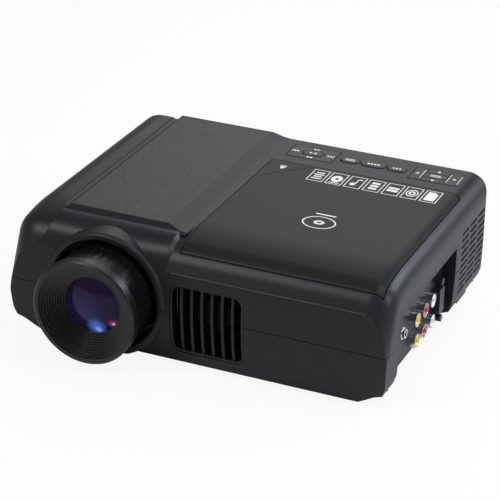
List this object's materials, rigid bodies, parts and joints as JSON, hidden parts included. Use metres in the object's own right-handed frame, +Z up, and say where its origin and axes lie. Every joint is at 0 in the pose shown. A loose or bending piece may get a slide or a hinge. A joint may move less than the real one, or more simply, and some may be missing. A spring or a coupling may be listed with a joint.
{
  "type": "projector with built in dvd player",
  "caption": "Compact data projector with a focusable stepped lens, louvred fan grille, key pads, side jack bay and a top-loading disc player under a hinged lid.",
  "frame": {"origin": "centre of the bounding box in plan, on the plane the rubber feet stand on", "axes": "+X to the right seen from the front, -Y the way the lens looks, +Z up"},
  "size_m": [0.245, 0.207, 0.0824],
  "materials": {
    "alloy": "satin",
    "board_green": "solder mask",
    "case_black": "fine moulded texture, matte",
    "ceramic": "matte",
    "chrome_part": "polished",
    "clear_glass": "polished",
    "coated_glass": "polished, blue coating",
    "grey_plastic": "matte",
    "grille_black": "matte",
    "inner_black": "matte",
    "jack_red": "gloss",
    "jack_white": "gloss",
    "jack_yellow": "gloss",
    "key_black": "matte",
    "lens_black": "semi-gloss",
    "lid_grey": "satin",
    "metal_sheet": "satin",
    "panel_grain": "grained",
    "rubber_black": "matte",
    "screw_steel": "dark plated"
  },
  "bodies": {
    "case": {"upper_case": "case_black", "lower_case": "case_black", "top_panel": "panel_grain", "front_grille": "grille_black", "lid_hinge_pins": "chrome_part", "disc_deck": "inner_black", "fan_frame": "inner_black", "lens_mount": "inner_black", "lens_plate": "alloy", "engine_frame": "inner_black", "image_panel": "clear_glass", "field_lens": "clear_glass", "light_box": "metal_sheet", "condenser_lens": "clear_glass", "lamp_reflector": "alloy", "lamp": "ceramic", "main_board": "board_green", "power_board": "board_green", "av_board": "board_green", "av_panel": "case_black", "phono_sleeves": "chrome_part", "phono_rings_yellow": "jack_yellow", "phono_rings_red": "jack_red", "phono_rings_white": "jack_white", "earphone_jack": "chrome_part", "data_port": "metal_sheet", "key_board": "board_green", "power_inlet": "inner_black", "speaker": "inner_black", "rubber_feet": "rubber_black", "case_screws": "screw_steel", "lamp_door": "case_black", "drive_grommets": "rubber_black", "drive_chassis": "metal_sheet", "spindle_motor": "metal_sheet", "sled_rods": "chrome_part", "feed_motor": "metal_sheet"},
    "lid": {"lid": "lid_grey"},
    "release": {"open_button": "lid_grey"},
    "latch": {"lid_latch": "inner_black"},
    "hub": {"turntable": "inner_black"},
    "sled": {"pickup_sled": "inner_black"},
    "screw": {"feed_screw": "chrome_part"},
    "fan": {"fan_rotor": "inner_black"},
    "ring": {"focus_ring": "lens_black"},
    "barrel": {"lens_barrel": "lens_black", "front_lens": "coated_glass", "rear_lens": "coated_glass"},
    "gimbal": {"transport_gimbal": "grey_plastic"},
    "pad": {"transport_pad": "key_black"},
    "rocker": {"power_rocker": "key_black"},
    "play_key_body": {"play_key": "key_black"},
    "oval_key_1_body": {"oval_key_1": "key_black"},
    "oval_key_2_body": {"oval_key_2": "key_black"},
    "oval_key_3_body": {"oval_key_3": "key_black"},
    "menu_left_key_body": {"menu_left_key": "key_black"},
    "menu_right_key_body": {"menu_right_key": "key_black"},
    "menu_down_key_body": {"menu_down_key": "key_black"},
    "menu_centre_key_body": {"menu_centre_key": "key_black"},
    "menu_up_key_body": {"menu_up_key": "key_black"}
  },
  "joints": [
    {"name": "lid_hinge", "type": "hinge", "parent": "case", "child": "lid", "pos_m": [0.0525, -0.06523, 0.072], "axis": [1, 0, 0], "range_deg": [0, 72]},
    {"name": "release_press", "type": "slide", "parent": "case", "child": "release", "axis": [0, 0, -1], "range_m": [0, 0.0018], "stiffness_N_per_m": 400, "springref_m": -0.002},
    {"name": "latch_slide", "type": "slide", "parent": "case", "child": "latch", "axis": [0, -1, 0], "range_m": [0, 0.0018]},
    {"name": "hub_spin", "type": "hinge", "parent": "case", "child": "hub", "pos_m": [0.0525, 0.004, 0.07], "axis": [0, 0, 1], "continuous": true},
    {"name": "sled_slide", "type": "slide", "parent": "case", "child": "sled", "axis": [0, 1, 0], "range_m": [0, 0.034]},
    {"name": "screw_turn", "type": "hinge", "parent": "case", "child": "screw", "pos_m": [0.07925, 0.05, 0.062], "axis": [0, 1, 0], "range_deg": [0, 4080]},
    {"name": "fan_spin", "type": "hinge", "parent": "case", "child": "fan", "pos_m": [0.0095, -0.0555, 0.0329], "axis": [0, 1, 0], "continuous": true},
    {"name": "ring_turn", "type": "hinge", "parent": "case", "child": "ring", "pos_m": [-0.0572, -0.083, 0.039], "axis": [0, 1, 0], "range_deg": [0, 270]},
    {"name": "barrel_slide", "type": "slide", "parent": "case", "child": "barrel", "axis": [0, -1, 0], "range_m": [0, 0.006]},
    {"name": "gimbal_tilt", "type": "hinge", "parent": "case", "child": "gimbal", "pos_m": [0.0095, 0.08675, 0.0746], "axis": [1, 0, 0], "range_deg": [-2, 2], "stiffness_Nm_per_rad": 0.05},
    {"name": "pad_tilt", "type": "hinge", "parent": "gimbal", "child": "pad", "pos_m": [0.0095, 0.08675, 0.0761], "axis": [0, 1, 0], "range_deg": [-2, 2], "stiffness_Nm_per_rad": 0.05},
    {"name": "play_press", "type": "slide", "parent": "case", "child": "play_key_body", "axis": [0, 0, -1], "range_m": [0, 0.0008], "stiffness_N_per_m": 500, "springref_m": -0.001},
    {"name": "oval_key_1_press", "type": "slide", "parent": "case", "child": "oval_key_1_body", "axis": [0, 0, -1], "range_m": [0, 0.0008], "stiffness_N_per_m": 500, "springref_m": -0.001},
    {"name": "oval_key_2_press", "type": "slide", "parent": "case", "child": "oval_key_2_body", "axis": [0, 0, -1], "range_m": [0, 0.0008], "stiffness_N_per_m": 500, "springref_m": -0.001},
    {"name": "oval_key_3_press", "type": "slide", "parent": "case", "child": "oval_key_3_body", "axis": [0, 0, -1], "range_m": [0, 0.0008], "stiffness_N_per_m": 500, "springref_m": -0.001},
    {"name": "menu_left_press", "type": "slide", "parent": "case", "child": "menu_left_key_body", "axis": [0, 0, -1], "range_m": [0, 0.0008], "stiffness_N_per_m": 500, "springref_m": -0.001},
    {"name": "menu_right_press", "type": "slide", "parent": "case", "child": "menu_right_key_body", "axis": [0, 0, -1], "range_m": [0, 0.0008], "stiffness_N_per_m": 500, "springref_m": -0.001},
    {"name": "menu_down_press", "type": "slide", "parent": "case", "child": "menu_down_key_body", "axis": [0, 0, -1], "range_m": [0, 0.0008], "stiffness_N_per_m": 500, "springref_m": -0.001},
    {"name": "menu_centre_press", "type": "slide", "parent": "case", "child": "menu_centre_key_body", "axis": [0, 0, -1], "range_m": [0, 0.0008], "stiffness_N_per_m": 500, "springref_m": -0.001},
    {"name": "menu_up_press", "type": "slide", "parent": "case", "child": "menu_up_key_body", "axis": [0, 0, -1], "range_m": [0, 0.0008], "stiffness_N_per_m": 500, "springref_m": -0.001},
    {"name": "rocker_flip", "type": "hinge", "parent": "case", "child": "rocker", "pos_m": [0.041, 0.0989, 0.025], "axis": [1, 0, 0], "range_deg": [0, 14]}
  ],
  "couplings": [
    {"joint": "latch_slide", "follows": "release_press", "ratio": 1},
    {"joint": "screw_turn", "follows": "sled_slide", "rad_per_m": 2094.4},
    {"joint": "barrel_slide", "follows": "ring_turn", "m_per_rad": 0.0012732}
  ]
}
